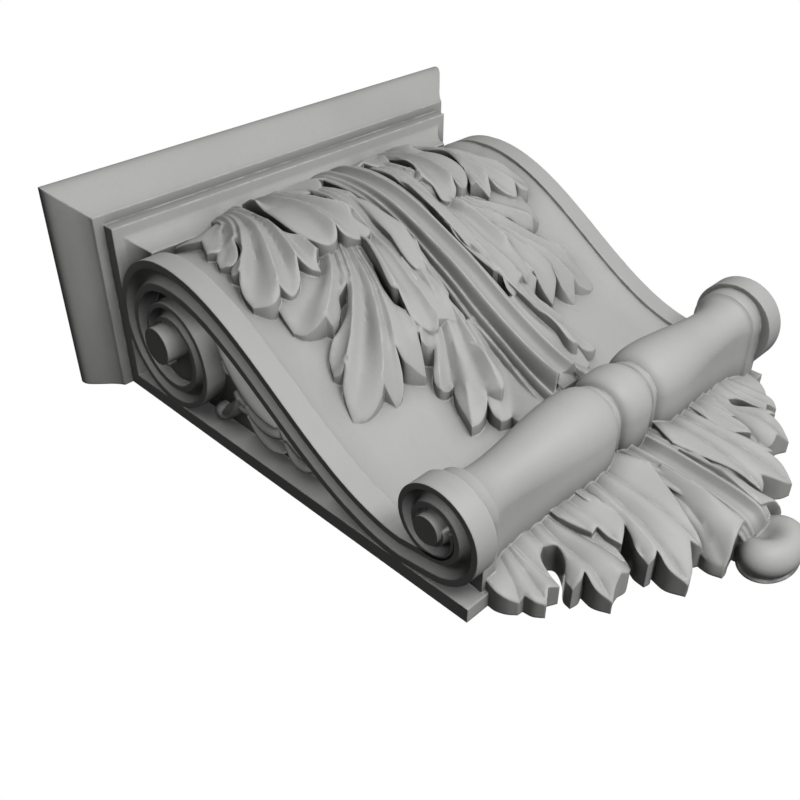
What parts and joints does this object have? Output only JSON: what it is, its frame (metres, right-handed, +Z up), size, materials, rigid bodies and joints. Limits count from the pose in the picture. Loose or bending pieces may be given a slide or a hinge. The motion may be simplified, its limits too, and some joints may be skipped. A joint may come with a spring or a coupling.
{
  "type": "carved bracket",
  "caption": "S-scroll wall bracket with moulded cap, volute sides, turned roll and acanthus leaves, fixed flat to a wall to carry a shelf, beam or mantel",
  "frame": {"origin": "on the flat back face, on the centre line, 110 mm above the foot of the back plate", "axes": "+X to the right when the carved front is looked at, +Y out of the back face into the wall, +Z up the wall; the carved front faces -Y"},
  "size_m": [0.2334, 0.0944, 0.2918],
  "materials": {
    "primed_wood": "matt grey primer over carved wood"
  },
  "bodies": {
    "root": {"carved_bracket": "primed_wood"}
  },
  "joints": []
}
